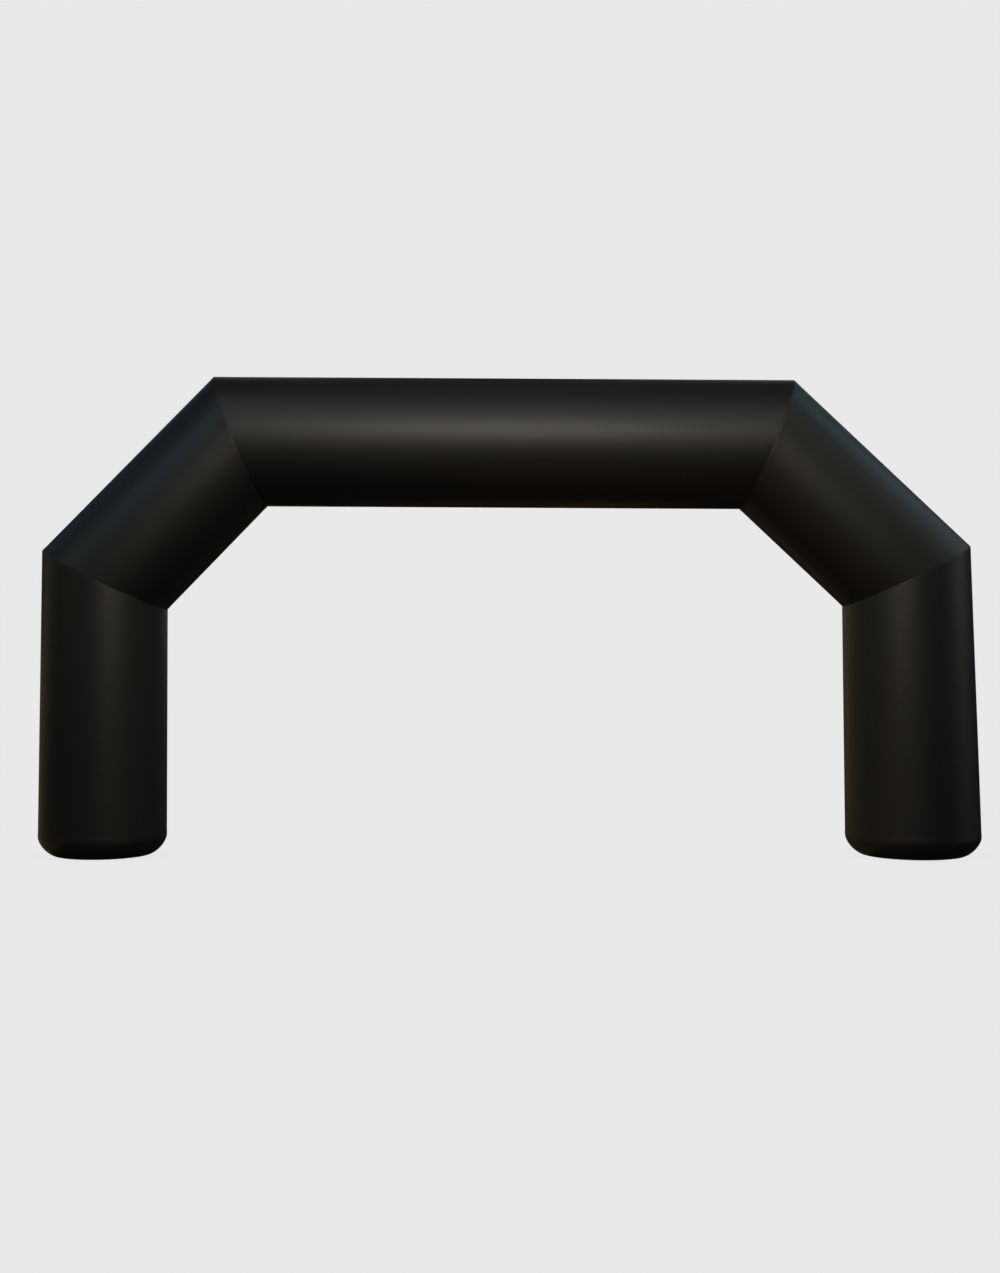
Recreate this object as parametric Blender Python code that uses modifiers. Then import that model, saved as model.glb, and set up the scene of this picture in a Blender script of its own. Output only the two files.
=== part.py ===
"""Inflatable arch: five mitred air-filled tubes standing on two round bases.

Metres, +Z up. +X runs across the arch from its left leg to its right leg, and +Y runs through
the passage. The origin is on the ground, midway between the outermost points of the two legs.
"""

import math
from collections import namedtuple

import bmesh
import bpy
from mathutils import Matrix, Vector

OBJECT_NAME = "inflatable_arch"

# Driving dimensions, in metres.
BASE_HEIGHT = 0.116          # ground to the seam between a leg and its base
BASE_INSET = 0.1075          # how much smaller the flat underside's radius is than the seam's
BASE_CREASE = math.radians(8.0)    # where the rim's curve starts, past its upright point
RIM_FULLNESS = 0.74          # below 1, the rim stays full and turns under late
SEAM_TURN = 0.004            # radius at which the cloth turns in at a seam
SEAM_GAP = 0.0003            # clearance between two neighbouring pieces

# How finely the round shapes are divided.
ROUND_SEGMENTS = 64
RIM_SEGMENTS = 10
TURN_SEGMENTS = 2
TURN_ANGLE = math.radians(30.0)

# Cloth of the whole arch: black coated polyester with a satin face.
CLOTH_COLOUR = (0.011, 0.011, 0.011, 1.0)
CLOTH_ROUGHNESS = 0.5
CLOTH_METALLIC = 0.0

# The seams, from the left foot over the arch to the right foot. Each lies in a plane that holds
# the Y direction: its outermost and innermost points are at Y = 0, and it reaches the depth
# radius to the front and to the back. The blown-up legs lean and swell a little unevenly.
Seam = namedtuple("Seam", "outer_x outer_z inner_x inner_z depth_radius")
SEAMS = {
    "left_foot": Seam(-3.003, BASE_HEIGHT, -2.199, BASE_HEIGHT, 0.402),
    "left_shoulder": Seam(-2.975, 1.940, -2.194, 1.564, 0.400),
    "left_crown": Seam(-1.882, 3.047, -1.554, 2.224, 0.407),
    "right_crown": Seam(1.809, 3.026, 1.474, 2.207, 0.410),
    "right_shoulder": Seam(2.932, 1.967, 2.134, 1.585, 0.407),
    "right_foot": Seam(3.002, BASE_HEIGHT, 2.153, BASE_HEIGHT, 0.425),
}

# Each tube runs from one seam to the next.
Tube = namedtuple("Tube", "name start end")
TUBES = (
    Tube("left_leg", "left_foot", "left_shoulder"),
    Tube("left_diagonal", "left_shoulder", "left_crown"),
    Tube("top_tube", "left_crown", "right_crown"),
    Tube("right_diagonal", "right_crown", "right_shoulder"),
    Tube("right_leg", "right_shoulder", "right_foot"),
)

Base = namedtuple("Base", "name seam")
BASES = (
    Base("left_base", "left_foot"),
    Base("right_base", "right_foot"),
)


def clear_scene():
    """Remove every object that the scene starts with."""
    for scene_object in list(bpy.data.objects):
        bpy.data.objects.remove(scene_object, do_unlink=True)


def cloth_material(part_name):
    """The satin black cloth of one part."""
    material = bpy.data.materials.new(part_name + "_cloth")
    material.use_nodes = True
    shader = material.node_tree.nodes["Principled BSDF"]
    shader.inputs["Base Color"].default_value = CLOTH_COLOUR
    shader.inputs["Roughness"].default_value = CLOTH_ROUGHNESS
    shader.inputs["Metallic"].default_value = CLOTH_METALLIC
    material.diffuse_color = CLOTH_COLOUR
    return material


def add_part(name, mesh, matrix, collection, root):
    """Put a mesh in the collection as a named part with its own material."""
    part = bpy.data.objects.new(name, mesh)
    mesh.materials.append(cloth_material(name))
    collection.objects.link(part)
    part.parent = root
    part.matrix_world = matrix
    return part


def round_seam_edges(part):
    """Turn the cloth in at the part's seams."""
    turn = part.modifiers.new("seam_turn", "BEVEL")
    turn.width = SEAM_TURN
    turn.segments = TURN_SEGMENTS
    turn.limit_method = "ANGLE"
    turn.angle_limit = TURN_ANGLE


def outer_point(seam):
    return Vector((seam.outer_x, 0.0, seam.outer_z))


def inner_point(seam):
    return Vector((seam.inner_x, 0.0, seam.inner_z))


def seam_centre(seam):
    return (outer_point(seam) + inner_point(seam)) / 2.0


def seam_normal(seam):
    """Unit normal of a seam's plane, pointing on along the arch from left to right."""
    inward = (inner_point(seam) - outer_point(seam)).normalized()
    return inward.cross(Vector((0.0, 1.0, 0.0)))


def tube_mesh(name, start, end, to_local):
    """A cylinder whose two end rings are moved onto the tube's seams."""
    half_gap = SEAM_GAP / 2.0
    start_centre = seam_centre(start) + seam_normal(start) * half_gap
    end_centre = seam_centre(end) - seam_normal(end) * half_gap
    shape = bmesh.new()
    bmesh.ops.create_cone(
        shape, cap_ends=True, cap_tris=False, segments=ROUND_SEGMENTS, radius1=1.0, radius2=1.0, depth=2.0
    )
    for vertex in shape.verts:
        at_end = vertex.co.z > 0.0
        seam = end if at_end else start
        centre = end_centre if at_end else start_centre
        half_width = (inner_point(seam) - outer_point(seam)) / 2.0
        half_depth = Vector((0.0, seam.depth_radius, 0.0))
        vertex.co = to_local @ (centre + half_width * vertex.co.x + half_depth * vertex.co.y)
    mesh = bpy.data.meshes.new(name)
    shape.to_mesh(mesh)
    shape.free()
    mesh.shade_smooth()
    mesh.set_sharp_from_angle(angle=TURN_ANGLE)
    return mesh


def add_tube(tube, collection, root):
    """One mitred tube, with its local Z along it and its local X towards the arch's inside."""
    start = SEAMS[tube.start]
    end = SEAMS[tube.end]
    run = seam_centre(end) - seam_centre(start)
    middle = (seam_centre(start) + seam_centre(end)) / 2.0
    turn = math.atan2(run.x, run.z)
    matrix = Matrix.Translation(middle) @ Matrix.Rotation(turn, 4, "Y")
    mesh = tube_mesh(tube.name, start, end, matrix.inverted())
    part = add_part(tube.name, mesh, matrix, collection, root)
    round_seam_edges(part)
    return part


def base_profile(radius):
    """The base's half section, from the middle of its top over the rounded rim to the middle
    of its flat underside. The rim is an oval arc that leans in at once below the seam and
    ends level with the ground."""
    top = BASE_HEIGHT - SEAM_GAP / 2.0
    points = [(0.0, top)]
    for step in range(RIM_SEGMENTS + 1):
        angle = BASE_CREASE + (math.pi / 2.0 - BASE_CREASE) * step / RIM_SEGMENTS
        inset = BASE_INSET * (1.0 - math.cos(angle) / math.cos(BASE_CREASE))
        fall = ((1.0 - math.sin(angle)) / (1.0 - math.sin(BASE_CREASE))) ** RIM_FULLNESS
        points.append((radius - inset, top * fall))
    points.append((0.0, 0.0))
    return points


def base_mesh(name, radius):
    points = [(across, 0.0, height) for across, height in base_profile(radius)]
    edges = [(index, index + 1) for index in range(len(points) - 1)]
    mesh = bpy.data.meshes.new(name)
    mesh.from_pydata(points, edges, [])
    return mesh


def add_base(base, collection, root):
    """One round base, turned about the upright axis through the middle of its foot."""
    seam = SEAMS[base.seam]
    matrix = Matrix.Translation((seam_centre(seam).x, 0.0, 0.0))
    part = add_part(base.name, base_mesh(base.name, seam.depth_radius), matrix, collection, root)
    turned = part.modifiers.new("turned", "SCREW")
    turned.steps = ROUND_SEGMENTS
    turned.render_steps = ROUND_SEGMENTS
    turned.use_merge_vertices = True
    turned.merge_threshold = 0.00001
    turned.use_smooth_shade = True
    round_seam_edges(part)
    return part


def main():
    clear_scene()
    collection = bpy.data.collections.new(OBJECT_NAME)
    bpy.context.scene.collection.children.link(collection)
    root = bpy.data.objects.new(OBJECT_NAME, None)
    collection.objects.link(root)
    for tube in TUBES:
        add_tube(tube, collection, root)
    for base in BASES:
        add_base(base, collection, root)


if __name__ == "__main__":
    main()
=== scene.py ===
"""Dresses the inflatable arch: tight black cloth on every tube and base, its sewing, and a studio.

Metres, +Z up. +X runs across the arch from its left leg to its right leg, and +Y runs through the
passage, away from the camera.
"""

import math
from collections import namedtuple

import bpy
import numpy as np
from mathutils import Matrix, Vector, noise


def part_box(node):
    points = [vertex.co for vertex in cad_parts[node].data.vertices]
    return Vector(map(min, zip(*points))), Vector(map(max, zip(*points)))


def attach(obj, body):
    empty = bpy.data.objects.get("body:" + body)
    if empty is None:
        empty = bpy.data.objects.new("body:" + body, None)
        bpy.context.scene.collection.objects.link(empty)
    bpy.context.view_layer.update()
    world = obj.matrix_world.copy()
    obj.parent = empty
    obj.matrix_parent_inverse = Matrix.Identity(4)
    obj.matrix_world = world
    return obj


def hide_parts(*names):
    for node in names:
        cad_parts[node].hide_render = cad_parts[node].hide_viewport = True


bl_info = {
    "name": "Inflatable arch",
    "version": (1, 0, 0),
    "blender": (4, 5, 0),
    "location": "3D View > Sidebar > Arch",
    "description": "Sewn black cloth for an air-filled gateway arch, on a pale studio floor",
    "category": "Object",
}

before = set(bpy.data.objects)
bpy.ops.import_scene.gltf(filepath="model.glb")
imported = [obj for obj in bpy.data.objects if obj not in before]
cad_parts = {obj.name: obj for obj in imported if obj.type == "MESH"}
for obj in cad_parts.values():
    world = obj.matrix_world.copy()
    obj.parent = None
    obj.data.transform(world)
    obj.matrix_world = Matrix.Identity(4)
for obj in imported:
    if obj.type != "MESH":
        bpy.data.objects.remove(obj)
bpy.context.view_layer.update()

BODY = "root"

# The seams of the solids, from the left foot over the arch to the right foot. Each lies in a plane
# that holds the Y direction: its outermost and innermost points are at Y = 0, and it reaches the
# depth radius to the front and to the back. The numbers come from fits to the arch's outline,
# rounded to a millimetre.
Seam = namedtuple("Seam", "outer_x outer_z inner_x inner_z depth_radius")
FOOT_HEIGHT = 0.116
SEAMS = {
    "left_foot": Seam(-3.003, FOOT_HEIGHT, -2.199, FOOT_HEIGHT, 0.402),
    "left_shoulder": Seam(-2.975, 1.940, -2.194, 1.564, 0.400),
    "left_crown": Seam(-1.882, 3.047, -1.554, 2.224, 0.407),
    "right_crown": Seam(1.809, 3.026, 1.474, 2.207, 0.410),
    "right_shoulder": Seam(2.932, 1.967, 2.134, 1.585, 0.407),
    "right_foot": Seam(3.002, FOOT_HEIGHT, 2.153, FOOT_HEIGHT, 0.425),
}
SEAM_GAP = 0.0003

# Each tube runs from one seam to the next. The seam allowance is folded onto one of the two
# tubes that meet, and the fold columns say whether this tube carries it.
Tube = namedtuple("Tube", "node start end fold_at_start fold_at_end")
TUBES = (
    Tube("left_leg", "left_foot", "left_shoulder", True, False),
    Tube("left_diagonal", "left_shoulder", "left_crown", True, True),
    Tube("top_tube", "left_crown", "right_crown", False, False),
    Tube("right_diagonal", "right_crown", "right_shoulder", True, True),
    Tube("right_leg", "right_shoulder", "right_foot", False, True),
)

Base = namedtuple("Base", "node seam")
BASES = (Base("left_base", "left_foot"), Base("right_base", "right_foot"))

# A base's rim leans in at once below the seam, stays full, and turns under late to end level with
# the ground. Its curve is measured at the samples and then divided evenly into the steps, and the
# flat underside has rings at the shares of its radius.
BASE_INSET = 0.1075
BASE_CREASE = math.radians(8.0)
RIM_FULLNESS = 0.74
RIM_SAMPLES = 200
RIM_STEPS = 24
UNDERSIDE_SHARES = (0.8, 0.5, 0.2)

# Width over which the folded seam allowance thins out.
FOLD_EDGE = 0.008

# How fast the puckers change on the way from a seam, and how far apart two seams' puckers lie in
# the noise, so that no two seams are alike.
PUCKER_CHANGE = 2.0
PUCKER_SPACING = 7.3

# Above this angle between two faces the cloth shows an edge.
SHARP_ANGLE = math.radians(50.0)

# How far a piece of cloth may stand out of its solid's box.
MOST_PROUD = 0.005

# Distances from a seam at which a cloth has a ring of points.
SEAM_STEPS = (
    0.0, 0.0006, 0.0014, 0.0024, 0.0036, 0.0052, 0.0075, 0.0105, 0.014, 0.018, 0.0215, 0.0235,
    0.0265, 0.032, 0.040, 0.052, 0.068, 0.090, 0.120, 0.160, 0.210,
)

# The lap along the back of a tube, measured round the tube from its edge. The edge rises between
# two distances, and the far side of the lap thins out. The cloth has points at the lap's steps,
# and keeps its evenly spread points clear of them.
BACK = math.pi / 2.0
TUBE_RADIUS = 0.405
LAP_WIDTH = 0.020
LAP_EDGE = (-0.0008, 0.0004)
LAP_THINNING = 0.0022
LAP_STEPS = (-0.0070, -0.0012, 0.0, 0.0008, 0.0040, 0.0100, 0.0160, 0.0200, 0.0214, 0.0225, 0.0270)
LAP_CLEARANCE = 0.004

# The rows of stitches on the lap, how far from the seams they stop, and the points of their paths.
LAP_ROWS = (0.0045, 0.0160)
LAP_MARGIN = 0.030
LAP_PATH_STEPS = 60

# The path of a row beside a seam has this many points for each side of the tube.
ROW_POINTS_PER_SIDE = 2

# A stitch: the number of its sides, its body's thickness as a share of the thread's, where along
# its half length the body ends, how deep its ends dip as a share of the thread's radius, and how
# far it is lifted off the cloth as a share of the thread's thickness.
STITCH_SIDES = 5
STITCH_SWELL = 0.9
STITCH_SHOULDER = 0.55
STITCH_DIP = 0.4
STITCH_LIFT = 0.15


# --------------------------------------------------------------------------- sizes and colours


class ArchClothSettings(bpy.types.PropertyGroup):
    """The cloth, and how it is drawn in where it is sewn."""

    colour: bpy.props.FloatVectorProperty(
        name="Cloth colour", description="Colour of the coated cloth", subtype="COLOR", size=3,
        min=0.0, max=1.0, default=(0.011, 0.011, 0.011),
    )
    roughness: bpy.props.FloatProperty(
        name="Cloth roughness", description="How satin the coating is", subtype="FACTOR",
        min=0.0, max=1.0, default=0.50,
    )
    yarn_pitch: bpy.props.FloatProperty(
        name="Yarn pitch", description="Distance between two yarns of the weave", unit="LENGTH",
        min=0.0002, default=0.0012,
    )
    weave_height: bpy.props.FloatProperty(
        name="Weave height", description="How far a yarn stands out where it crosses another",
        unit="LENGTH", min=0.0, default=0.00003,
    )
    mottle: bpy.props.FloatProperty(
        name="Mottle", description="How much the colour wanders over the cloth", subtype="FACTOR",
        min=0.0, max=1.0, default=0.15,
    )
    draw_in: bpy.props.FloatProperty(
        name="Draw-in", description="How deep the cloth is drawn in at a seam", unit="LENGTH",
        min=0.0, default=0.0005,
    )
    draw_in_reach: bpy.props.FloatProperty(
        name="Draw-in reach", description="Distance over which the draw-in fades", unit="LENGTH",
        min=0.001, default=0.004,
    )
    pucker: bpy.props.FloatProperty(
        name="Pucker", description="Height of the small puckers beside a tube's seam",
        unit="LENGTH", min=0.0, default=0.0003,
    )
    gather: bpy.props.FloatProperty(
        name="Gather", unit="LENGTH", min=0.0, default=0.0008,
        description="Height of the puckers round a base, where flat cloth is turned up",
    )
    pucker_width: bpy.props.FloatProperty(
        name="Pucker width", description="Width of one pucker, measured along the seam",
        unit="LENGTH", min=0.005, default=0.050,
    )
    pucker_reach: bpy.props.FloatProperty(
        name="Pucker reach", description="Distance over which the puckers fade", unit="LENGTH",
        min=0.005, default=0.055,
    )
    fold_width: bpy.props.FloatProperty(
        name="Fold width", unit="LENGTH", min=0.005, default=0.022,
        description="Width of the seam allowance that is folded over and sewn down",
    )
    fold_height: bpy.props.FloatProperty(
        name="Fold height", unit="LENGTH", min=0.0, default=0.0005,
        description="How far the folded allowance and the lap along the back stand proud",
    )
    sides: bpy.props.IntProperty(
        name="Sides", description="Number of faces around a tube", min=24, default=192,
    )
    body_steps: bpy.props.IntProperty(
        name="Body steps", description="Number of spans along the plain middle of a tube", min=2,
        default=14,
    )


class ArchSewingSettings(bpy.types.PropertyGroup):
    """The rows of stitches."""

    pitch: bpy.props.FloatProperty(
        name="Stitch pitch", description="Distance from one stitch to the next", unit="LENGTH",
        min=0.002, default=0.007,
    )
    length: bpy.props.FloatProperty(
        name="Stitch length", description="Length of thread that shows in one stitch",
        unit="LENGTH", min=0.001, default=0.0052,
    )
    thickness: bpy.props.FloatProperty(
        name="Thread thickness", description="Thickness of the thread", unit="LENGTH", min=0.0002,
        default=0.0011,
    )
    first_row: bpy.props.FloatProperty(
        name="First row", description="Distance of the first row from the seam", unit="LENGTH",
        min=0.001, default=0.006,
    )
    second_row: bpy.props.FloatProperty(
        name="Second row", description="Distance of the second row from the seam", unit="LENGTH",
        min=0.001, default=0.017,
    )


class ArchStageSettings(bpy.types.PropertyGroup):
    """The floor, the backdrop, the lights and the camera."""

    backdrop_colour: bpy.props.FloatVectorProperty(
        name="Backdrop colour", description="Colour of the floor and the backdrop", subtype="COLOR",
        size=3, min=0.0, max=1.0, default=(0.8148, 0.8148, 0.8148),
    )
    light_level: bpy.props.FloatProperty(
        name="Light level", description="Scales every light of the studio", min=0.0, default=1.0,
    )
    stage_radius: bpy.props.FloatProperty(
        name="Stage radius", description="Distance from the arch to the backdrop", unit="LENGTH",
        min=20.0, default=60.0,
    )


# --------------------------------------------------------------------------------- small tools


def smooth_step(low, high, value):
    """0 below low, 1 above high, and an even rise between them."""
    share = min(max((value - low) / (high - low), 0.0), 1.0)
    return share * share * (3.0 - 2.0 * share)


def outer_point(seam):
    """The seam's outermost point."""
    return Vector((seam.outer_x, 0.0, seam.outer_z))


def inner_point(seam):
    """The seam's innermost point."""
    return Vector((seam.inner_x, 0.0, seam.inner_z))


def seam_centre(seam):
    """The middle of a seam."""
    return (outer_point(seam) + inner_point(seam)) / 2.0


def seam_normal(seam):
    """Unit normal of a seam's plane, pointing on along the arch from left to right."""
    inward = (inner_point(seam) - outer_point(seam)).normalized()
    return inward.cross(Vector((0.0, 1.0, 0.0)))


def seam_offset(seam, angle):
    """From a seam's centre to its edge: angle 0 is the arch's inside, and a quarter turn on is
    the back."""
    half_width = (inner_point(seam) - outer_point(seam)) / 2.0
    return half_width * math.cos(angle) + Vector((0.0, seam.depth_radius * math.sin(angle), 0.0))


def add_piece(name, mesh, material, node=None):
    """Puts a finished mesh in the scene as a piece of the arch, standing for its CAD node."""
    piece = bpy.data.objects.new(name, mesh)
    bpy.context.scene.collection.objects.link(piece)
    mesh.materials.append(material)
    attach(piece, BODY)
    if node:
        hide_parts(node)
        check_fit(piece, node)


def check_fit(piece, node):
    """Stops when a piece's box leaves its CAD node's box by more than the cloth may stand proud."""
    low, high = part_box(node)
    corners = np.array([vertex.co for vertex in piece.data.vertices])
    spread = max(np.max(np.array(low) - corners.min(0)), np.max(corners.max(0) - np.array(high)))
    if spread > MOST_PROUD:
        raise RuntimeError(f"{piece.name} stands {spread:.4f} m out of its solid")


# --------------------------------------------------------------------------------------- cloth


class Skin:
    """A closed skin of rings, each with the same number of points, and a cap at both ends."""

    def __init__(self, name, arounds):
        """arounds are the distances round the tube of a ring's points, and of its first again."""
        self.name = name
        self.arounds = arounds
        self.rings = []
        self.lengths = []

    def add_ring(self, points, lengths):
        """One ring of points, and how far along the cloth each of them lies."""
        self.rings.append(points)
        self.lengths.append(lengths)

    def mesh(self):
        """The mesh, with a map in metres: around the tube, and along it."""
        sides = len(self.rings[0])
        points = [tuple(point) for ring in self.rings for point in ring]
        faces, marks = [], []
        for ring in range(len(self.rings) - 1):
            low, high = ring * sides, (ring + 1) * sides
            below, above = self.lengths[ring], self.lengths[ring + 1]
            for side in range(sides):
                beside = (side + 1) % sides
                here, there = self.arounds[side], self.arounds[side + 1]
                faces.append((low + side, low + beside, high + beside, high + side))
                marks.extend(((here, below[side]), (there, below[beside])))
                marks.extend(((there, above[beside]), (here, above[side])))
        last = (len(self.rings) - 1) * sides
        for cap in (tuple(reversed(range(sides))), tuple(range(last, last + sides))):
            faces.append(cap)
            marks.extend(points[index][:2] for index in cap)
        mesh = bpy.data.meshes.new(self.name)
        mesh.from_pydata(points, [], faces)
        layer = mesh.uv_layers.new(name="cloth")
        layer.data.foreach_set("uv", np.array(marks, dtype=np.float32).ravel())
        mesh.shade_smooth()
        mesh.set_sharp_from_angle(angle=SHARP_ANGLE)
        return mesh


def seam_sink(cloth, seam_name, angle, distance, folded, pucker):
    """How far the cloth lies inside its plain wall, at a distance from a seam."""
    drawn = cloth.draw_in * math.exp(-distance / cloth.draw_in_reach)
    along_seam = TUBE_RADIUS / cloth.pucker_width
    depth = PUCKER_SPACING * list(SEAMS).index(seam_name) + distance * PUCKER_CHANGE
    place = Vector((math.cos(angle) * along_seam, math.sin(angle) * along_seam, depth))
    ripple = pucker * noise.noise(place) * math.exp(-distance / cloth.pucker_reach)
    fold = 0.0
    if folded:
        fold = 1.0 - smooth_step(cloth.fold_width, cloth.fold_width + FOLD_EDGE, distance)
    return drawn + ripple - cloth.fold_height * fold


def lap_rise(cloth, angle):
    """How far the lap along a tube's back stands proud."""
    around = math.remainder(angle - BACK, math.tau) * TUBE_RADIUS
    up = smooth_step(*LAP_EDGE, around)
    down = smooth_step(LAP_WIDTH, LAP_WIDTH + LAP_THINNING, around)
    return cloth.fold_height * (up - down)


def wall_point(cloth, tube, angle, share, distance):
    """A point of a tube's wall. It lies the share of the way from seam to seam, and then the
    distance further on. The cloth sinks in near each seam and rises at the lap."""
    start, end = SEAMS[tube.start], SEAMS[tube.end]
    start_in, end_in = seam_offset(start, angle), seam_offset(end, angle)
    first = seam_centre(start) + start_in + seam_normal(start) * (SEAM_GAP / 2.0)
    last = seam_centre(end) + end_in - seam_normal(end) * (SEAM_GAP / 2.0)
    run = last - first
    from_start = run.length * share + distance
    from_end = run.length - from_start
    point = first + run.normalized() * from_start
    if from_start < from_end:
        outward = start_in.normalized()
        sink = seam_sink(cloth, tube.start, angle, from_start, tube.fold_at_start, cloth.pucker)
    else:
        outward = end_in.normalized()
        sink = seam_sink(cloth, tube.end, angle, from_end, tube.fold_at_end, cloth.pucker)
    return point + outward * (lap_rise(cloth, angle) - sink)


def tube_stations(cloth):
    """The rings of a tube, as (share, distance) pairs: close together near the seams."""
    stations = [(0.0, step) for step in SEAM_STEPS]
    for step in range(1, cloth.body_steps):
        share = step / cloth.body_steps
        stations.append((share, SEAM_STEPS[-1] * (1.0 - 2.0 * share)))
    stations.extend((1.0, -step) for step in reversed(SEAM_STEPS))
    return stations


def tube_angles(cloth):
    """The angles of a ring's points, from the lap along the back and round to it again. They
    lie close together beside the lap."""
    lap = [step / TUBE_RADIUS for step in LAP_STEPS]
    low = lap[-1] + LAP_CLEARANCE / TUBE_RADIUS
    high = math.tau + lap[0] - LAP_CLEARANCE / TUBE_RADIUS
    even = [math.tau * side / cloth.sides for side in range(cloth.sides)]
    turns = [step for step in lap if step >= 0.0]
    turns += [turn for turn in even if low < turn < high]
    turns += [math.tau + step for step in lap if step <= 0.0]
    return [BACK + turn for turn in turns]


def tube_mesh(cloth, tube):
    """The tight cloth of one tube, mapped from the lap along its back."""
    angles = tube_angles(cloth)
    start, end = SEAMS[tube.start], SEAMS[tube.end]
    runs = []
    for angle in angles[:-1]:
        far_edge = seam_centre(end) + seam_offset(end, angle)
        runs.append((far_edge - seam_centre(start) - seam_offset(start, angle)).length)
    skin = Skin(tube.node + "_cloth", [(angle - BACK) * TUBE_RADIUS for angle in angles])
    for share, distance in tube_stations(cloth):
        points = [wall_point(cloth, tube, angle, share, distance) for angle in angles[:-1]]
        skin.add_ring(points, [run * (share - 0.5) + distance for run in runs])
    return skin.mesh()


def rim_point(share):
    """A point of the rim's arc, as (inset, height): share runs from 0 at the seam to 1 at the
    ground."""
    angle = BASE_CREASE + (math.pi / 2.0 - BASE_CREASE) * share
    inset = BASE_INSET * (1.0 - math.cos(angle) / math.cos(BASE_CREASE))
    fall = ((1.0 - math.sin(angle)) / (1.0 - math.sin(BASE_CREASE))) ** RIM_FULLNESS
    return inset, (FOOT_HEIGHT - SEAM_GAP / 2.0) * fall


def base_stations():
    """The base's rim from its seam to the ground, as (inset, height, length along the cloth)."""
    insets, heights = np.array([rim_point(step / RIM_SAMPLES) for step in range(RIM_SAMPLES + 1)]).T
    reach = np.concatenate([[0.0], np.cumsum(np.hypot(np.diff(insets), np.diff(heights)))])
    near = [step for step in SEAM_STEPS if step < reach[-1] / 2.0]
    lengths = np.concatenate([near, np.linspace(near[-1], reach[-1], RIM_STEPS + 1)[1:]])
    return list(zip(np.interp(lengths, reach, insets), np.interp(lengths, reach, heights), lengths))


def round_point(middle, across, angle, height):
    """A point at a distance across from the upright axis through a foot's middle."""
    return Vector((middle + across * math.cos(angle), across * math.sin(angle), height))


def base_mesh(cloth, base):
    """The round cap under a leg, turned about the upright axis through the middle of its foot."""
    seam = SEAMS[base.seam]
    middle = seam_centre(seam).x
    inside = 1.0 if seam.inner_x > seam.outer_x else -1.0
    radius = seam.depth_radius
    steps = [math.tau * side / cloth.sides for side in range(cloth.sides + 1)]
    angles = [math.pi / 2.0 - step for step in steps[:-1]]
    skin = Skin(base.node + "_cloth", [radius * step for step in steps])
    stations = base_stations()
    for inset, height, length in stations:
        points = []
        for angle in angles:
            seam_angle = math.atan2(math.sin(angle), inside * math.cos(angle))
            fade = 1.0 - length / stations[-1][2]
            sink = fade * seam_sink(cloth, base.seam, seam_angle, length, False, cloth.gather)
            points.append(round_point(middle, radius - inset - sink, angle, height))
        skin.add_ring(points, [length] * cloth.sides)
    flat = radius - BASE_INSET
    for share in UNDERSIDE_SHARES:
        across = flat * share
        ring = [round_point(middle, across, angle, 0.0) for angle in angles]
        skin.add_ring(ring, [stations[-1][2] + flat - across] * cloth.sides)
    return skin.mesh()


# -------------------------------------------------------------------------------------- sewing


def stitch_shape(sewing):
    """One stitch lying along X with its outside up Z: points and triangles."""
    half, thick = sewing.length / 2.0, sewing.thickness / 2.0
    body = thick * STITCH_SWELL
    points = [(-half, 0.0, -thick * STITCH_DIP)]
    for along in (-half * STITCH_SHOULDER, half * STITCH_SHOULDER):
        for side in range(STITCH_SIDES):
            turn = math.tau * side / STITCH_SIDES
            points.append((along, body * math.cos(turn), body * math.sin(turn)))
    points.append((half, 0.0, -thick * STITCH_DIP))
    last = len(points) - 1
    faces = []
    for side in range(STITCH_SIDES):
        here, beside = 1 + side, 1 + (side + 1) % STITCH_SIDES
        ahead, across = here + STITCH_SIDES, beside + STITCH_SIDES
        faces.extend(((0, beside, here), (here, beside, across)))
        faces.extend(((here, across, ahead), (ahead, across, last)))
    return np.array(points), np.array(faces)


def read_along(values, reach, marks):
    """Values on a path, read at the marked distances along it."""
    return np.stack([np.interp(marks, reach, values[:, axis]) for axis in range(3)], axis=1)


def sew(sewing, path):
    """The points and faces of the stitches along a path of (place, outward) pairs."""
    places = np.array([place for place, _ in path])
    outwards = np.array([outward for _, outward in path])
    reach = np.concatenate([[0.0], np.cumsum(np.linalg.norm(np.diff(places, axis=0), axis=1))])
    count = int(reach[-1] // sewing.pitch)
    if count < 1:
        raise RuntimeError(f"a row of {reach[-1]:.4f} m is too short for one stitch")
    marks = (np.arange(count) + 0.5) * reach[-1] / count
    half = sewing.length / 2.0
    middle = read_along(places, reach, marks)
    ahead = read_along(places, reach, marks + half) - read_along(places, reach, marks - half)
    ahead /= np.linalg.norm(ahead, axis=1, keepdims=True)
    out = read_along(outwards, reach, marks)
    out -= ahead * np.sum(out * ahead, axis=1, keepdims=True)
    out /= np.linalg.norm(out, axis=1, keepdims=True)
    side = np.cross(out, ahead)
    shape, faces = stitch_shape(sewing)
    lift = sewing.thickness * STITCH_LIFT
    points = (
        middle[:, None, :]
        + ahead[:, None, :] * shape[None, :, 0:1]
        + side[:, None, :] * shape[None, :, 1:2]
        + out[:, None, :] * (shape[None, :, 2:3] + lift)
    )
    numbers = faces[None, :, :] + (np.arange(count) * len(shape))[:, None, None]
    return points.reshape(-1, 3), numbers.reshape(-1, 3)


def add_stitches(name, runs, material):
    """Adds one piece made of every stitch in several runs."""
    points, faces, first = [], [], 0
    for run_points, run_faces in runs:
        points.append(run_points)
        faces.append(run_faces + first)
        first += len(run_points)
    mesh = bpy.data.meshes.new(name)
    mesh.from_pydata(np.vstack(points).tolist(), [], np.vstack(faces).tolist())
    mesh.shade_smooth()
    add_piece(name, mesh, material)


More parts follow.
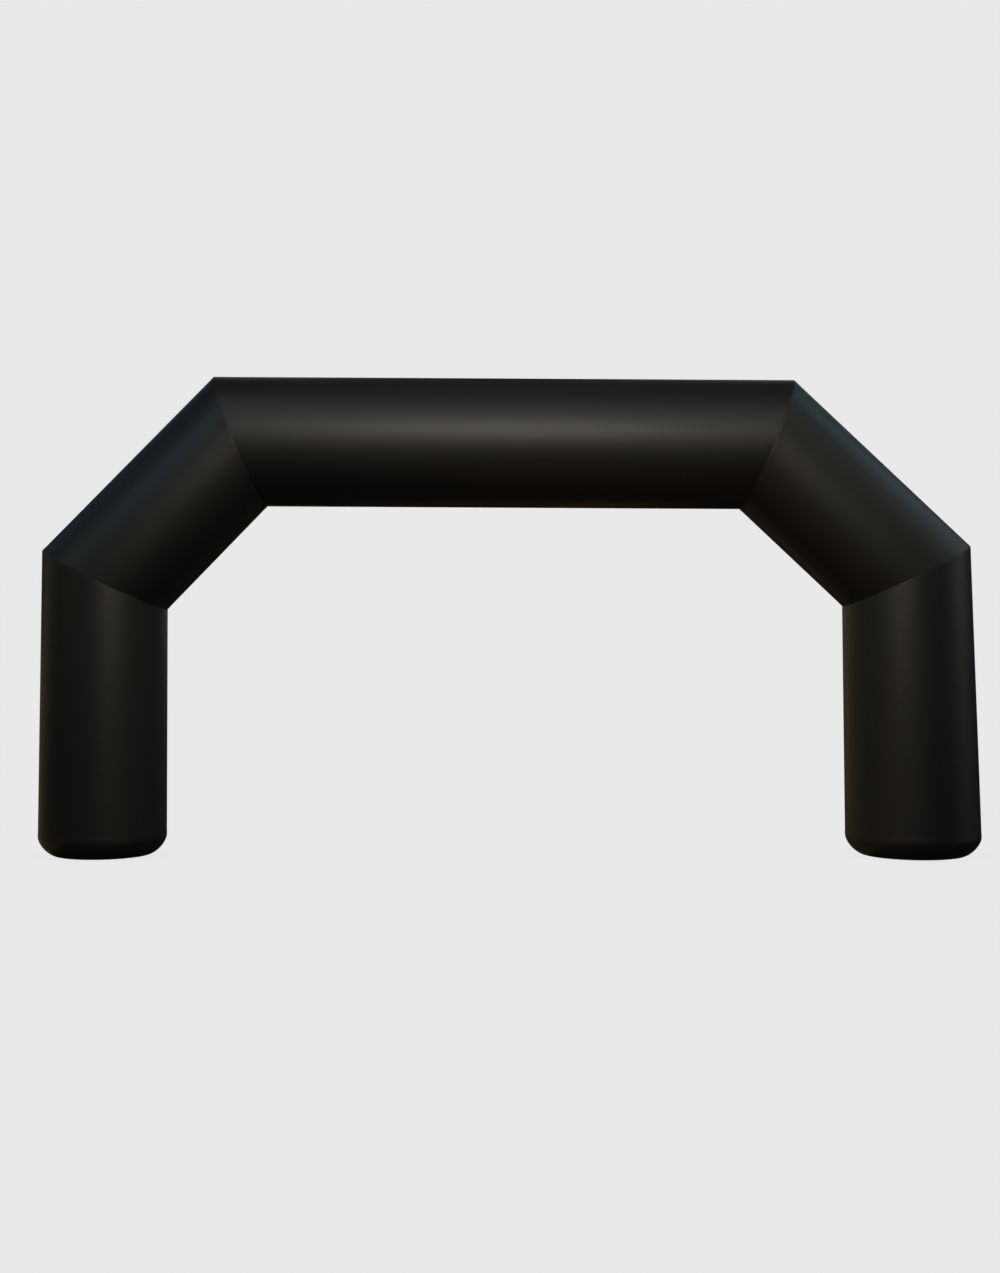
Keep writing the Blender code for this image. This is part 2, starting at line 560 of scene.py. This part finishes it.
def seam_row(cloth, tube, at_end, distance):
    """The closed path of a row of stitches beside one seam of a tube."""
    seam = SEAMS[tube.end if at_end else tube.start]
    share, inward = (1.0, -distance) if at_end else (0.0, distance)
    count = cloth.sides * ROW_POINTS_PER_SIDE
    path = []
    for step in range(count + 1):
        angle = BACK + math.tau * step / count
        outward = seam_offset(seam, angle).normalized()
        path.append((wall_point(cloth, tube, angle, share, inward), outward))
    return path


def lap_row(cloth, tube, around):
    """The path of a row of stitches on the lap along a tube's back."""
    angle = BACK + around / TUBE_RADIUS
    outward = seam_offset(SEAMS[tube.start], angle).normalized()
    path = []
    for step in range(LAP_PATH_STEPS + 1):
        share = step / LAP_PATH_STEPS
        margin = LAP_MARGIN * (1.0 - 2.0 * share)
        path.append((wall_point(cloth, tube, angle, share, margin), outward))
    return path


# ----------------------------------------------------------------------------------- materials

# The coated cloth's unevenness: wide clouds and fine specks, given as blotches a metre and detail,
# what each of them and the weave adds to the colour, from dark at 0 to light at 1, and how far the
# clouds and the specks move the roughness.
CLOUD_SCALE = 1.7
CLOUD_DETAIL = 3.0
SPECK_SCALE = 60.0
SPECK_DETAIL = 2.0
CLOUD_COLOUR = 0.6
SPECK_COLOUR = 0.25
WEAVE_COLOUR = 0.08
EVEN_COLOUR = 0.075
CLOUD_ROUGHNESS = 0.04
SPECK_ROUGHNESS = 0.03
NOISE_MIDDLE = 0.5

# The thread's plies, how dark and light they are beside the cloth, and their roughness.
PLY_SCALE = 900.0
PLY_DETAIL = 1.0
PLY_DARK = 0.9
PLY_LIGHT = 1.6
THREAD_ROUGHNESS = 0.38
PLY_ROUGHNESS = 0.2

POLYESTER_IOR = 1.5

# How much coarser the weave of the bases is than that of the tubes.
BASE_COARSENESS = 1.4

# Where a Mix node keeps its two colours and gives its result.
MIX_FIRST_COLOUR = 6
MIX_SECOND_COLOUR = 7
MIX_RESULT = 2


class Wire:
    """A node's output. Arithmetic on value wires adds Math nodes."""

    def __init__(self, paint, socket):
        """The socket belongs to a node of the paint."""
        self.paint = paint
        self.socket = socket

    def _math(self, operation, *terms):
        """A Math node on the terms, which are wires or numbers."""
        return self.paint.node("ShaderNodeMath", {"operation": operation}, dict(enumerate(terms)))

    def __add__(self, other):
        return self._math("ADD", self, other)

    def __sub__(self, other):
        return self._math("SUBTRACT", self, other)

    def __rsub__(self, other):
        return self._math("SUBTRACT", other, self)

    def __mul__(self, other):
        return self._math("MULTIPLY", self, other)

    __radd__ = __add__
    __rmul__ = __mul__

    def sine(self):
        """The sine of a value in radians."""
        return self._math("SINE", self)

    def split(self):
        """The X, Y and Z of a vector."""
        parts = self.paint.node("ShaderNodeSeparateXYZ", {}, {"Vector": self})
        return [Wire(self.paint, socket) for socket in parts.socket.node.outputs]


class Paint:
    """A material's node tree."""

    def __init__(self, name):
        """Starts a new material with no nodes."""
        self.material = bpy.data.materials.new(name)
        self.material.use_nodes = True
        self.tree = self.material.node_tree
        self.tree.nodes.clear()

    def node(self, kind, settings=None, inputs=None, output=0):
        """Adds a node: its settings first, then the values or wires of its sockets."""
        made = self.tree.nodes.new(kind)
        for key, value in (settings or {}).items():
            setattr(made, key, value)
        for key, value in (inputs or {}).items():
            if isinstance(value, Wire):
                self.tree.links.new(value.socket, made.inputs[key])
            else:
                made.inputs[key].default_value = value
        return Wire(self, made.outputs[output]) if made.outputs else None

    def noise(self, place, scale, detail):
        """Soft noise from 0 to 1, whose blotches are 1 / scale metres wide."""
        sockets = {"Vector": place, "Scale": scale, "Detail": detail}
        return self.node("ShaderNodeTexNoise", {}, sockets)

    def blend(self, share, first, second):
        """A colour between two others: the first at 0, and the second at 1."""
        sockets = {
            "Factor": share,
            MIX_FIRST_COLOUR: (*first, 1.0),
            MIX_SECOND_COLOUR: (*second, 1.0),
        }
        return self.node("ShaderNodeMix", {"data_type": "RGBA"}, sockets, MIX_RESULT)

    def finish(self, shader):
        """Wires the shader to the material's output."""
        self.node("ShaderNodeOutputMaterial", {}, {"Surface": shader})
        return self.material


def cloth_material(name, cloth, yarn_pitch):
    """Black woven polyester under a satin coating that has worn a little unevenly."""
    paint = Paint(name)
    around, along, _ = paint.node("ShaderNodeUVMap", {"uv_map": "cloth"}).split()
    place = paint.node("ShaderNodeTexCoord", output="Object")
    turns = math.pi / yarn_pitch
    weave = (around * turns).sine() * (along * turns).sine()
    clouds = paint.noise(place, CLOUD_SCALE, CLOUD_DETAIL)
    specks = paint.noise(place, SPECK_SCALE, SPECK_DETAIL)
    share = clouds * CLOUD_COLOUR + specks * SPECK_COLOUR + weave * WEAVE_COLOUR + EVEN_COLOUR
    dark = [value * (1.0 - cloth.mottle) for value in cloth.colour]
    light = [value * (1.0 + cloth.mottle) for value in cloth.colour]
    cloudy = (clouds - NOISE_MIDDLE) * CLOUD_ROUGHNESS
    specked = (specks - NOISE_MIDDLE) * SPECK_ROUGHNESS
    roughness = cloth.roughness + cloudy + specked
    bump = paint.node("ShaderNodeBump", {}, {"Distance": cloth.weave_height, "Height": weave})
    shader = paint.node("ShaderNodeBsdfPrincipled", {}, {
        "Base Color": paint.blend(share, dark, light),
        "Roughness": roughness,
        "Normal": bump,
        "IOR": POLYESTER_IOR,
    })
    return paint.finish(shader)


def thread_material(name, cloth):
    """Black polyester thread with its plies showing."""
    paint = Paint(name)
    place = paint.node("ShaderNodeTexCoord", output="Object")
    plies = paint.noise(place, PLY_SCALE, PLY_DETAIL)
    dark = [value * PLY_DARK for value in cloth.colour]
    light = [value * PLY_LIGHT for value in cloth.colour]
    shader = paint.node("ShaderNodeBsdfPrincipled", {}, {
        "Base Color": paint.blend(plies, dark, light),
        "Roughness": THREAD_ROUGHNESS + plies * PLY_ROUGHNESS,
        "IOR": POLYESTER_IOR,
    })
    return paint.finish(shader)


# --------------------------------------------------------------------------------------- stage

# A level camera. Its picture is shifted so that the eye level lies a little below the middle.
CAMERA_PLACE = (-0.0617, -10.726, 1.3496)
CAMERA_LENS_MM = 47.43
SENSOR_MM = 36.0
PICTURE_HEIGHT_PX = 1273.0
EYE_LEVEL_BELOW_MIDDLE_PX = 6.5

# The floor lies this far under the bases, and the dome of the backdrop starts further down.
FLOOR_DROP = 0.0005
FLOOR_SIDES = 96
DOME_SIDES = 64
DOME_TIERS = 16
DOME_DROP = 0.5

# The floor beside the bases carries a painted contact shadow: how far this painted shade reaches, how light
# its darkest is, and how many rays look for what stands near.
CONTACT_REACH = 0.12
CONTACT_SHADE = 0.95
CONTACT_SAMPLES = 16

# Softboxes near the arch: the middle of each, the point it faces, its width and height in metres,
# its power in watts, and its colour. Most powers and colours, here and in the far softboxes, come
# from a least-squares fit of the light on the tubes, and are rounded.
Softbox = namedtuple("Softbox", "name place target size power colour")
SOFTBOXES = (
    Softbox("key", (0.0, -6.0, 4.6), (0.0, 0.0, 4.6), (2.0, 0.8), 160.0, (1.0, 0.98, 0.94)),
    Softbox("front_low", (0.0, -6.0, 3.4), (0.0, 0.0, 3.4), (2.0, 1.6), 22.0, (1.0, 0.55, 0.0)),
    Softbox("front_right", (4.0, -6.0, 5.0), (4.0, 0.0, 5.0), (2.0, 3.0), 9.5, (1.0, 0.75, 0.45)),
    Softbox("ceiling_front", (0.0, -5.0, 8.0), (0.0, -5.0, 0.0), (15.6, 3.6), 143.0, (1.0, 0.88, 0.78)),
    Softbox("right_side_high", (8.0, 0.5, 6.0), (0.0, 0.5, 6.0), (12.0, 2.4), 45.0, (0.95, 1.0, 0.9)),
    Softbox("back_wide", (0.0, 9.0, 3.5), (0.0, 0.0, 3.5), (12.0, 5.0), 50.0, (1.0, 1.0, 1.0)),
    Softbox("left_rim", (-4.0, 8.0, 1.5), (-4.0, 0.0, 1.5), (4.0, 3.0), 16.0, (1.0, 0.8, 0.05)),
    Softbox("left_fill", (-5.5, 3.0, 0.2), (2.3, 0.0, 2.1), (2.5, 2.5), 6.0, (1.0, 0.65, 0.35)),
    Softbox("passage_back", (-0.4, 3.0, 0.05), (2.3, 0.0, 2.1), (1.6, 1.6), 0.6, (1.0, 0.65, 0.5)),
    Softbox("passage_front", (0.3, -1.8, 0.05), (2.1, 0.0, 1.9), (0.9, 0.9), 1.0, (1.0, 0.3, 0.0)),
    Softbox("passage_right", (0.8, 2.6, 0.3), (2.2, 0.0, 2.0), (0.8, 0.8), 0.6, (1.0, 0.65, 0.35)),
    Softbox("floor_behind", (0.0, 1.9, 0.02), (0.0, 1.9, 3.0), (15.0, 2.4), 3.6, (1.0, 0.95, 0.9)),
    Softbox("floor_by_left_base", (-3.3, 0.2, 0.003), (-3.3, 0.2, 1.0), (0.8, 1.4), 0.35, (1.0, 0.65, 0.35)),
    Softbox("floor_by_right_base", (1.88, 0.2, 0.003), (1.88, 0.2, 1.0), (0.76, 1.4), 0.2, (1.0, 0.65, 0.4)),
    Softbox("floor_round_left", (-2.6, 0.0, 0.003), (-2.6, 0.0, 1.0), (1.34, 1.34), 0.14, (1.0, 0.8, 0.55)),
    Softbox("floor_round_right", (2.58, 0.0, 0.003), (2.58, 0.0, 1.0), (1.36, 1.36), 0.12, (1.0, 0.9, 0.65)),
)

# Softboxes far off, which shine on the whole arch alike: the bearing of each, with 0 in front and
# 90 on the right, its rise above the horizon and its breadth, all in degrees, its power in watts,
# and its colour.
FarSoftbox = namedtuple("FarSoftbox", "name bearing rise breadth power colour")
FAR_SOFTBOXES = (
    FarSoftbox("far_front_left_low", -50.0, 8.0, 20.0, 60.0, (1.0, 0.5, 0.0)),
    FarSoftbox("far_front_left", -50.0, 35.0, 12.0, 260.0, (0.1, 0.55, 1.0)),
    FarSoftbox("far_front_high", -36.0, 62.0, 20.0, 177.0, (0.3, 0.65, 1.0)),
    FarSoftbox("far_left", -70.0, 22.0, 12.0, 119.0, (1.0, 0.95, 0.6)),
    FarSoftbox("far_left_low", -110.0, 8.0, 20.0, 108.0, (1.0, 0.9, 0.65)),
    FarSoftbox("far_left_behind", -120.0, 26.0, 20.0, 90.0, (0.3, 0.6, 1.0)),
    FarSoftbox("far_right_low", 90.0, 8.0, 20.0, 138.0, (1.0, 0.8, 0.6)),
    FarSoftbox("far_right", 95.0, 18.0, 12.0, 332.0, (0.75, 0.95, 1.0)),
    FarSoftbox("far_right_high", 110.0, 42.0, 12.0, 263.0, (0.4, 0.75, 1.0)),
    FarSoftbox("far_back_left", -160.0, 26.0, 20.0, 180.0, (1.0, 1.0, 1.0)),
    FarSoftbox("far_back_right", 160.0, 26.0, 20.0, 180.0, (1.0, 1.0, 1.0)),
    FarSoftbox("far_back_high", 180.0, 62.0, 20.0, 33.0, (0.75, 0.9, 1.0)),
)
FAR_CENTRE = Vector((0.0, 0.0, 1.5))
FAR_DISTANCE = 24.0


def add_softbox(box, settings):
    """An area light that shows only in what it shines on."""
    data = bpy.data.lights.new(box.name, "AREA")
    data.shape = "RECTANGLE"
    data.size, data.size_y = box.size
    data.energy = box.power * settings.light_level
    data.color = box.colour
    light = bpy.data.objects.new(box.name, data)
    facing = Vector(box.target) - Vector(box.place)
    light.location = box.place
    light.rotation_euler = facing.to_track_quat("-Z", "Y").to_euler()
    light.visible_camera = False
    bpy.context.scene.collection.objects.link(light)


def near_softbox(far):
    """A far softbox's real place and size, from where it seems to be."""
    bearing, rise = math.radians(far.bearing), math.radians(far.rise)
    level = math.cos(rise)
    way = Vector((math.sin(bearing) * level, -math.cos(bearing) * level, math.sin(rise)))
    across = 2.0 * FAR_DISTANCE * math.tan(math.radians(far.breadth) / 2.0)
    place = FAR_CENTRE + way * FAR_DISTANCE
    return Softbox(far.name, place, FAR_CENTRE, (across, across), far.power, far.colour)


def floor_material(colour):
    """The pale floor, with a painted contact shadow that makes it a little darker where the arch stands on
    it.
    """
    paint = Paint("pale_floor")
    reach = {"Distance": CONTACT_REACH}
    samples = {"samples": CONTACT_SAMPLES}
    openness = paint.node("ShaderNodeAmbientOcclusion", samples, reach, "AO")
    # Painted contact shadow: the floor's colour darkens where the occlusion rays find the arch close by.
    shade = paint.blend(openness, [value * CONTACT_SHADE for value in colour], colour)
    return paint.finish(paint.node("ShaderNodeEmission", {}, {"Color": shade}))


def backdrop_material(colour):
    """The even pale backdrop."""
    paint = Paint("pale_backdrop")
    return paint.finish(paint.node("ShaderNodeEmission", {}, {"Color": (*colour, 1.0)}))


def add_stage_object(name, points, faces, material):
    """Adds a part of the stage. It neither lights nor shades the arch, nor shows in its gloss."""
    mesh = bpy.data.meshes.new(name)
    mesh.from_pydata(points, [], faces)
    mesh.materials.append(material)
    surface = bpy.data.objects.new(name, mesh)
    bpy.context.scene.collection.objects.link(surface)
    surface.visible_diffuse = False
    surface.visible_glossy = False
    surface.visible_shadow = False


def circle(radius, height, sides):
    """The points of a level ring round the origin."""
    turns = [math.tau * side / sides for side in range(sides)]
    return [(radius * math.cos(turn), radius * math.sin(turn), height) for turn in turns]


def add_floor(settings):
    """A round pale floor, just under the bases."""
    points = circle(settings.stage_radius, -FLOOR_DROP, FLOOR_SIDES)
    material = floor_material(settings.backdrop_colour)
    add_stage_object("floor", points, [tuple(range(FLOOR_SIDES))], material)


def add_backdrop(settings):
    """A pale dome all round, so that every side has the same plain ground."""
    points, faces = [], []
    for tier in range(DOME_TIERS):
        rise = math.pi / 2.0 * tier / DOME_TIERS
        height = settings.stage_radius * math.sin(rise) - DOME_DROP
        points.extend(circle(settings.stage_radius * math.cos(rise), height, DOME_SIDES))
    points.append((0.0, 0.0, settings.stage_radius - DOME_DROP))
    for tier in range(DOME_TIERS):
        for side in range(DOME_SIDES):
            beside = (side + 1) % DOME_SIDES
            low, high = tier * DOME_SIDES, (tier + 1) * DOME_SIDES
            if tier == DOME_TIERS - 1:
                faces.append((low + side, high, low + beside))
            else:
                faces.append((low + side, high + side, high + beside, low + beside))
    add_stage_object("backdrop", points, faces, backdrop_material(settings.backdrop_colour))


def add_camera():
    """A level camera in front of the arch, looking straight through its passage."""
    data = bpy.data.cameras.new("camera")
    data.lens = CAMERA_LENS_MM
    data.sensor_width = SENSOR_MM
    data.shift_y = EYE_LEVEL_BELOW_MIDDLE_PX / PICTURE_HEIGHT_PX
    camera = bpy.data.objects.new("camera", data)
    camera.location = CAMERA_PLACE
    camera.rotation_euler = (math.pi / 2.0, 0.0, 0.0)
    bpy.context.scene.collection.objects.link(camera)
    bpy.context.scene.camera = camera


# ----------------------------------------------------------------------------------- operators


class ARCH_OT_tubes(bpy.types.Operator):
    """Blow up the five cloth tubes"""

    bl_idname = "arch.tubes"
    bl_label = "Cloth tubes"

    def execute(self, context):
        cloth = context.scene.arch_cloth
        material = cloth_material("black_tube_cloth", cloth, cloth.yarn_pitch)
        for tube in TUBES:
            add_piece(tube.node + "_cloth", tube_mesh(cloth, tube), material, tube.node)
        return {"FINISHED"}


class ARCH_OT_bases(bpy.types.Operator):
    """Cap each leg with its round base, in a coarser weave of the same cloth"""

    bl_idname = "arch.bases"
    bl_label = "Round bases"

    def execute(self, context):
        cloth = context.scene.arch_cloth
        pitch = cloth.yarn_pitch * BASE_COARSENESS
        material = cloth_material("black_base_cloth", cloth, pitch)
        for base in BASES:
            add_piece(base.node + "_cloth", base_mesh(cloth, base), material, base.node)
        return {"FINISHED"}


class ARCH_OT_seam_stitches(bpy.types.Operator):
    """Sew two rows of stitches beside every seam"""

    bl_idname = "arch.seam_stitches"
    bl_label = "Seam stitches"

    def execute(self, context):
        cloth, sewing = context.scene.arch_cloth, context.scene.arch_sewing
        material = thread_material("black_seam_thread", cloth)
        rows = (sewing.first_row, sewing.second_row)
        for tube in TUBES:
            ends = ((False, tube.fold_at_start, tube.start), (True, tube.fold_at_end, tube.end))
            for at_end, folded, seam_name in ends:
                if folded:
                    runs = [sew(sewing, seam_row(cloth, tube, at_end, row)) for row in rows]
                    add_stitches(seam_name + "_stitches", runs, material)
        return {"FINISHED"}


class ARCH_OT_lap_stitches(bpy.types.Operator):
    """Sew down the lap along the back of every tube"""

    bl_idname = "arch.lap_stitches"
    bl_label = "Lap stitches"

    def execute(self, context):
        cloth, sewing = context.scene.arch_cloth, context.scene.arch_sewing
        material = thread_material("black_lap_thread", cloth)
        for tube in TUBES:
            runs = [sew(sewing, lap_row(cloth, tube, row)) for row in LAP_ROWS]
            add_stitches(tube.node + "_lap_stitches", runs, material)
        return {"FINISHED"}


class ARCH_OT_stage(bpy.types.Operator):
    """Set up the floor, the backdrop, the lights and the camera"""

    bl_idname = "arch.stage"
    bl_label = "Studio"

    def execute(self, context):
        settings = context.scene.arch_stage
        add_floor(settings)
        add_backdrop(settings)
        for box in SOFTBOXES:
            add_softbox(box, settings)
        for far in FAR_SOFTBOXES:
            add_softbox(near_softbox(far), settings)
        add_camera()
        context.scene.view_settings.view_transform = "Standard"
        return {"FINISHED"}


class ARCH_PT_panel(bpy.types.Panel):
    """The arch's settings, and the steps that build it"""

    bl_label = "Inflatable arch"
    bl_idname = "ARCH_PT_panel"
    bl_space_type = "VIEW_3D"
    bl_region_type = "UI"
    bl_category = "Arch"

    def draw(self, context):
        for title, group in SETTINGS.items():
            box = self.layout.box()
            box.label(text=title.replace("_", " ").capitalize())
            for key in group.__annotations__:
                box.prop(getattr(context.scene, title), key)
        for step in STEPS:
            self.layout.operator(step.bl_idname)


SETTINGS = {
    "arch_cloth": ArchClothSettings,
    "arch_sewing": ArchSewingSettings,
    "arch_stage": ArchStageSettings,
}
STEPS = (ARCH_OT_tubes, ARCH_OT_bases, ARCH_OT_seam_stitches, ARCH_OT_lap_stitches, ARCH_OT_stage)
CLASSES = tuple(SETTINGS.values()) + STEPS + (ARCH_PT_panel,)


def register():
    """Registers the classes and puts their settings on the scene."""
    for kind in CLASSES:
        bpy.utils.register_class(kind)
    for name, kind in SETTINGS.items():
        setattr(bpy.types.Scene, name, bpy.props.PointerProperty(type=kind))


def unregister():
    """Takes the settings and the classes away again."""
    for name in SETTINGS:
        delattr(bpy.types.Scene, name)
    for kind in reversed(CLASSES):
        bpy.utils.unregister_class(kind)


def main():
    """Dresses the arch step by step."""
    register()
    bpy.ops.arch.tubes()
    bpy.ops.arch.bases()
    bpy.ops.arch.seam_stitches()
    bpy.ops.arch.lap_stitches()
    bpy.ops.arch.stage()


if __name__ == "__main__":
    main()
